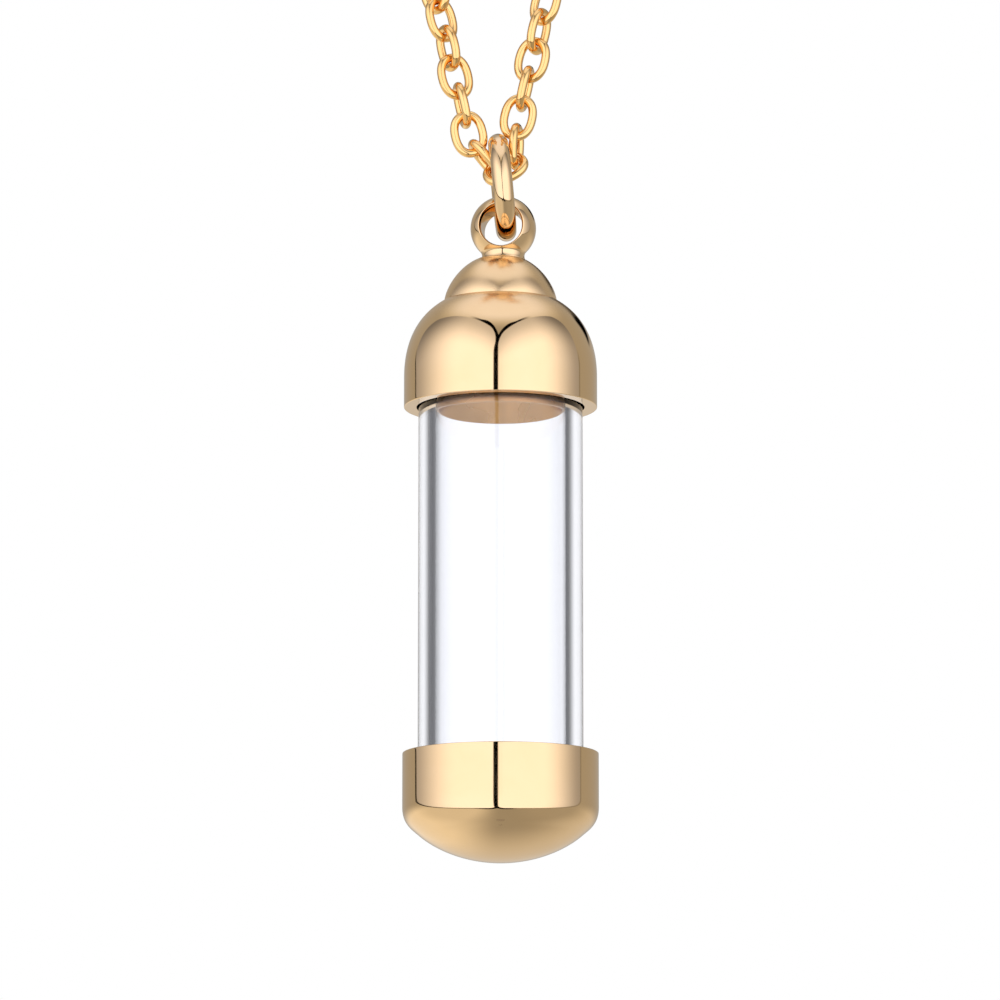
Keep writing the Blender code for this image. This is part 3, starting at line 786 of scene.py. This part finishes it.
# %% [markdown]
# ## Bent wire
# Jump ring, chain links and end rings are all wire bent into a closed loop, round or oval.
# One recipe makes them: a circle of points is pushed to a rounded oval, a round section
# follows it, and the wire swells or pinches a little at the place where its ends were joined.
# Every link gets its own values and its own place, because each moves by itself.
# %% Recipe of the bent wire
def wire_recipe():
    group, given, out = new_recipe("bent_wire", {
        "Half Length": "Float", "Half Width": "Float", "Squareness": "Float", "Wire Radius": "Float",
        "Steps": "Int", "Sides": "Int", "Joint At": "Float", "Joint Swell": "Float",
        "Joint Width": "Float", "Finish": "Material",
    })
    do = Sums(group)
    ring = add(group, "GeometryNodeCurvePrimitiveCircle")
    feed(group, ring, Resolution=given["Steps"], Radius=1.0)
    index = add(group, "GeometryNodeInputIndex").outputs[0]
    share = do("DIVIDE", do("ADD", index, 0.5), given["Steps"])
    angle = do("MULTIPLY", share, 2 * pi)
    power = do("DIVIDE", 2.0, given["Squareness"])

    def pushed(wave, reach):
        bent = do("POWER", do("ABSOLUTE", wave), power)
        return do("MULTIPLY", do("MULTIPLY", bent, do("SIGN", wave)), reach)

    place = add(group, "ShaderNodeCombineXYZ")
    feed(group, place, pushed(do("COSINE", angle), given["Half Width"]),
         pushed(do("SINE", angle), given["Half Length"]), 0.0)
    oval = add(group, "GeometryNodeSetPosition")
    feed(group, oval, ring.outputs[0], Position=place.outputs[0])
    upright = add(group, "GeometryNodeSetCurveNormal", mode="Z_UP")
    feed(group, upright, oval.outputs[0])
    off = do("DIVIDE", do("SUBTRACT", share, given["Joint At"]), given["Joint Width"])
    swell = do("EXPONENT", do("MULTIPLY", do("MULTIPLY", off, off), -1.0))
    thick = do("ADD", 1.0, do("MULTIPLY", swell, given["Joint Swell"]))
    gauge = add(group, "GeometryNodeSetCurveRadius")
    feed(group, gauge, upright.outputs[0], Radius=thick)
    section = add(group, "GeometryNodeCurvePrimitiveCircle")
    feed(group, section, Resolution=given["Sides"], Radius=given["Wire Radius"])
    swept = add(group, "GeometryNodeCurveToMesh")
    feed(group, swept, gauge.outputs[0], section.outputs[0])
    real = feed(group, add(group, "GeometryNodeRealizeInstances"), swept.outputs[0])
    finished = add(group, "GeometryNodeSetMaterial")
    feed(group, finished, real.outputs[0], Material=given["Finish"])
    feed(group, out, finished.outputs[0])
    return group


WIRE = wire_recipe()
print("wire recipe with", len(WIRE.nodes), "nodes")

# %% [markdown]
# ## Placing wire loops
# A loop is drawn lying flat, its width along X and its length along Y. A place for it is a
# centre, the direction its length points to, and the direction its width points to.
# %% Bend one loop of wire
def axes(centre, up, across):
    """A place whose Z is up, X across and Y the normal of both, in millimetres above the rim."""
    up = Vector(up).normalized()
    across = Vector(across)
    across = (across - up * across.dot(up)).normalized()
    made = Matrix((across, up.cross(across), up)).transposed().to_4x4()
    made.translation = Vector(centre)
    return made


def bend(name, place, half_length, half_width, wire, slot, squareness=2.0, steps=96, sides=20,
         joint_at=0.02, swell=0.0, joint_width=0.012):
    """Bends one closed loop of wire at a place. joint_at is a share of the way round it."""
    stand = Matrix((place.col[0], place.col[2], -place.col[1], place.col[3])).transposed()
    stand.translation = at(*place.translation)
    values = {
        "Half Length": half_length * MM, "Half Width": half_width * MM, "Squareness": squareness,
        "Wire Radius": wire * MM, "Steps": steps, "Sides": sides, "Joint At": joint_at,
        "Joint Swell": swell, "Joint Width": joint_width, "Finish": FINISH[slot],
    }
    seed = bpy.data.meshes.new(name + "_seed")
    return bake(name, seed, WIRE, values, stand, pi)


print("wire bender ready")

# %% [markdown]
# ## Jump ring
# The thick ring joins the ball to the chain and leans a little to the left. It is sawn from a
# coil and pressed shut, so a hairline cut stays in it, here at the back near the top.
# %% Bend the jump ring
RING_R, RING_WIRE_R, RING_LEAN = 2.42, 0.555, radians(5.5)
ring_place = axes((0.09, 0, 12.32), Matrix.Rotation(-RING_LEAN, 3, "Y") @ Vector((0, 0, 1)), (0, 1, 0))
ring = bend("thick_jump_ring", ring_place, RING_R, RING_R, RING_WIRE_R, "gold_polished",
            steps=420, sides=40, joint_at=0.16, swell=-0.07, joint_width=0.0016)
hand_over(ring, "ring", "gold_polished", "jump_ring")
print("jump ring", round(2 * (RING_R + RING_WIRE_R), 2), "mm outside")

# %% [markdown]
# ## Cable chain
# Fifteen oval links of the same wire. Both strands start at the ring and run up and outwards,
# each link turned a quarter against the last, with a slow twist along the strand as a hanging
# chain takes. Three slack links lie against the ring. Each link is baked as its own mesh.
# %% Bend every link of the chain
LINK_HALF_LENGTH, LINK_HALF_WIDTH, LINK_WIRE_R, LINK_PLAY = 1.09, 0.76, 0.235, 0.04
LINK_STEP = 2 * LINK_HALF_LENGTH - 2 * LINK_WIRE_R - LINK_PLAY
STRAND_LEAN, TWIST_PER_LINK, STRAND_LINKS = radians(13.2), radians(9.5), 6
SLACK_LINKS = (
    ("apex_link", (-0.852, 0.060, 13.943), (0.636, 0.053, -0.770), (-0.122, 0.992, -0.032)),
    ("right_link_1", (0.275, -0.218, 13.299), (0.877, 0.024, 0.480), (0.408, -0.564, -0.718)),
    ("right_link_2", (0.870, 0.006, 14.624), (0.049, -0.005, 0.999), (-0.243, -0.970, 0.007)),
)


def strand(side, start):
    """Places of one strand's links from the lowest up. side is -1 on the left, 1 on the right."""
    up = Vector((side * sin(STRAND_LEAN), 0, cos(STRAND_LEAN)))
    flat = Vector((cos(STRAND_LEAN), 0, -side * sin(STRAND_LEAN)))
    places = []
    for i in range(STRAND_LINKS):
        twist = Matrix.Rotation(-side * TWIST_PER_LINK * i, 3, up)
        across = twist @ (flat if i % 2 == 0 else Vector((0, 1, 0)))
        places.append(axes(start + up * LINK_STEP * i, up, across))
    return places


left = strand(-1, Vector((-1.745, 0, 15.33)))
right = strand(1, Vector((0.975, 0, 16.27)))
chain = {name: axes(*numbers) for name, *numbers in SLACK_LINKS}
chain.update({f"left_link_{i + 1}": place for i, place in enumerate(left)})
chain.update({f"right_link_{i + 3}": place for i, place in enumerate(right)})
for name, place in chain.items():
    made = bend(name + "_wire", place, LINK_HALF_LENGTH, LINK_HALF_WIDTH, LINK_WIRE_R, "gold_chain",
                squareness=2.3, joint_at=0.01, swell=0.05, joint_width=0.018)
    hand_over(made, "apex" if name == "apex_link" else name, "gold_chain", name)
print("links:", len(chain))

# %% [markdown]
# ## End ring and clasp ring
# The strands end just above the view, in a plain ring on the left and a small ring with a
# lobster clasp on the right. Each ring lies across the last link, so it is turned a quarter.
# %% Bend the two end rings
END_RING_R, END_RING_WIRE_R, CLASP_RING_R, CLASP_RING_WIRE_R = 1.68, 0.285, 1.25, 0.25


def ring_on(last, radius, wire):
    """The place of a ring that a strand's last link holds by its upper bow."""
    up, across = last.col[2].to_3d(), last.col[0].to_3d()
    lowest = last @ Vector((0, 0, LINK_HALF_LENGTH)) - up * (LINK_WIRE_R + wire + LINK_PLAY)
    return axes(lowest + up * radius, up, up.cross(across))


end_place = ring_on(left[-1], END_RING_R, END_RING_WIRE_R)
clasp_ring_place = ring_on(right[-1], CLASP_RING_R, CLASP_RING_WIRE_R)
end = bend("end_ring_wire", end_place, END_RING_R, END_RING_R, END_RING_WIRE_R, "gold_chain",
           steps=160, sides=24, joint_at=0.1, swell=-0.03)
hand_over(end, "end_ring", "gold_chain", "end_ring")
small = bend("clasp_ring_wire", clasp_ring_place, CLASP_RING_R, CLASP_RING_R, CLASP_RING_WIRE_R,
             "gold_chain", steps=140, sides=24, joint_at=0.1, swell=-0.06, joint_width=0.004)
hand_over(small, "clasp_ring", "gold_chain", "clasp_ring")
print("end ring", 2 * (END_RING_R + END_RING_WIRE_R), "mm outside")

# %% [markdown]
# ## Lobster clasp
# The clasp is cast, so it has no sharp edge: a flat hook shape whose rims are well rounded, a
# thin eye for the ring, and a slot for the lever. The shape is drawn as an outline, given its
# thickness, rounded with a Bevel and then cut with Booleans, in the order a workshop does it.
# %% Helpers for cast plates
CLASP_THICK, CLASP_TAB, CLASP_SLOT, CLASP_EYE_R = 2.0, 0.9, 0.95, 0.50
LEVER_THICK, PIN_R, PIN_PLAY, PIVOT = 0.83, 0.30, 0.04, (1.55, 3.35)
CLASP_SAG, PIN_SUNK, LARGEST_BITE = 0.09, 0.02, 0.6


def arc(radius, steps, centre, start, end):
    """Points of an arc between two angles in degrees."""
    turns = [radians(start + (end - start) * i / (steps - 1)) for i in range(steps)]
    return [(centre[0] + radius * cos(t), centre[1] + radius * sin(t)) for t in turns]


def clasp_place():
    """The place where the clasp's eye hangs on the top of the clasp ring."""
    up, hole = clasp_ring_place.col[2].to_3d(), clasp_ring_place.col[0].to_3d()
    top = clasp_ring_place @ Vector((0, 0, CLASP_RING_R))
    rise = CLASP_EYE_R - CLASP_RING_WIRE_R - CLASP_SAG - LINK_PLAY
    return axes(top + up * rise, up, up.cross(hole) * -1)


def eased(outline, share, steps=4):
    """Rounds every corner of a closed outline by a share of its shorter side."""
    found = []
    for i, corner in enumerate(outline):
        before, after = outline[i - 1], outline[(i + 1) % len(outline)]
        bite = min(dist(before, corner) * share, dist(after, corner) * share, LARGEST_BITE)
        found += rounded(before, corner, after, bite, steps)
    return found


def block(name, outline, thick, place, middle=0.0, ease=0.0):
    """A flat plate: an outline in the plane of place's X and Z, thickened along its Y."""
    if ease:
        outline = eased(outline, ease)
    count = len(outline)
    flat = [(x, middle + side * thick / 2, z) for side in (-1, 1) for x, z in outline]
    faces = [tuple(range(count)), tuple(reversed(range(count, 2 * count)))]
    faces += [(j, j + count, (j + 1) % count + count, (j + 1) % count) for j in range(count)]
    mesh = bpy.data.meshes.new(name)
    mesh.from_pydata([at(*(place @ Vector(v))) for v in flat], [], faces)
    settle(mesh)
    made = bpy.data.objects.new(name, mesh)
    bpy.context.scene.collection.objects.link(made)
    return made


def bar(name, radius, half, place, x=0.0, z=0.0, edge=0.0):
    """A round bar across the clasp."""
    outline = [(0, -half), (radius - edge, -half), (radius, edge - half), (radius, half - edge),
               (radius - edge, half), (0, half)]
    lying = place @ Matrix.Translation((x, 0, z)) @ Matrix.Rotation(pi / 2, 4, "X")
    lying.translation = at(*lying.translation)
    return turn(name, outline, "spring_steel", 40, lying, lift=0)


def soften(piece, width, segments=4, angle=55):
    step = piece.modifiers.new("soften", "BEVEL")
    step.width, step.segments, step.limit_method = width * MM, segments, "ANGLE"
    step.angle_limit = radians(angle)
    step.use_clamp_overlap = True


def carve(piece, *tools):
    for tool in tools:
        step = piece.modifiers.new("carve", "BOOLEAN")
        step.operation, step.solver, step.object = "DIFFERENCE", "EXACT", tool


def finish_cast(piece, slot, *tools):
    """Bakes the steps, removes the tools, gives the finish and evens the shading of the flats."""
    mesh = baked(piece)
    for tool in tools:
        bpy.data.objects.remove(tool, do_unlink=True)
    mesh.materials.clear()
    mesh.materials.append(FINISH[slot])
    settle(mesh, radians(40))
    even = piece.modifiers.new("even_shading", "WEIGHTED_NORMAL")
    even.keep_sharp = True
    baked(piece)


print("helpers for cast plates ready")

# %% [markdown]
# ## Clasp body
# The outline runs round the eye, out to the hook and back. A shallow cut on each side thins the
# plate at its eye, so that the ring can swing there, and the slot leaves room for the lever.
# %% Cast the clasp's body
CLASP = clasp_place()
hook = [
    *arc(1.15, 13, (0, 0), 200, 340), (1.45, 1.9), (2.35, 2.9), (2.55, 4.0), (1.75, 4.15), (1.25, 3.95),
    (0.95, 4.1), (-0.75, 4.9), (-0.85, 6.2), *arc(1.0, 12, (0.15, 7.0), 150, 10)[1:-1], (1.1, 6.9),
    (1.45, 6.62), (1.95, 6.62), (2.3, 7.2), *arc(2.35, 15, (-0.05, 7.3), 15, 165),
    (-2.45, 6.0), (-2.3, 4.2), (-1.9, 2.6), (-1.35, 1.2),
]
body = block("clasp_body_cast", hook, CLASP_THICK, CLASP, ease=0.42)
soften(body, 0.30)
slot_tool = block("slot_tool", [(0.35, 2.55), (3.2, 2.55), (3.2, 4.6), (0.35, 4.6)], CLASP_SLOT, CLASP)
eye_tool = bar("eye_tool", CLASP_EYE_R, CLASP_THICK, CLASP)
pin_tool = bar("pin_tool", PIN_R + PIN_PLAY, CLASP_THICK, CLASP, *PIVOT)
thinner = [(-1.5, -1.5), (1.5, -1.5), (1.5, 1.02), (-1.5, 1.02)]
cheeks = [block(f"cheek_tool_{i}", thinner, CLASP_THICK - CLASP_TAB, CLASP, side * CLASP_THICK / 2)
          for i, side in enumerate((-1, 1))]
carve(body, eye_tool, slot_tool, pin_tool, *cheeks)
finish_cast(body, "gold_chain", slot_tool, eye_tool, pin_tool, *cheeks)
hand_over(body, "clasp", "gold_chain", "clasp_body")
print("clasp body faces:", len(body.data.polygons))

# %% [markdown]
# ## Lever, pin and leaf spring
# The lever turns on a steel pin through both cheeks of the slot, and a thin leaf pushes it
# shut. The thumb end stands out of the slot so that a nail can catch it.
# %% Lever, pin and leaf
lever_outline = [
    *arc(0.66, 14, PIVOT, 175, 330), (2.25, 3.55), (2.95, 3.75), (3.1, 4.15), (2.75, 4.5), (2.2, 4.85),
    (2.05, 6.0), (1.98, 6.54), (1.42, 6.54), (1.5, 6.0), (1.42, 4.9), (1.2, 4.3),
]
lever = block("clasp_lever_cast", lever_outline, LEVER_THICK, CLASP, ease=0.35)
soften(lever, 0.10, 3)
lever_bore = bar("lever_bore", PIN_R + PIN_PLAY, CLASP_THICK, CLASP, *PIVOT)
carve(lever, lever_bore)
finish_cast(lever, "gold_chain", lever_bore)
hand_over(lever, "lever", "gold_chain", "clasp_lever")
pin = bar("clasp_pin_steel", PIN_R, CLASP_THICK / 2 - PIN_SUNK, CLASP, *PIVOT, edge=0.04)
hand_over(pin, "clasp", "spring_steel", "clasp_pin")
leaf_outline = [(0.42, 2.62), (0.54, 2.62), (0.54, 3.3), (0.60, 3.74), (0.74, 3.96), (0.65, 4.03),
                (0.50, 3.80), (0.42, 3.32)]
leaf = block("clasp_leaf_steel", leaf_outline, 0.63, CLASP)
hand_over(leaf, "clasp", "spring_steel", "clasp_leaf")
print("clasp pieces made")
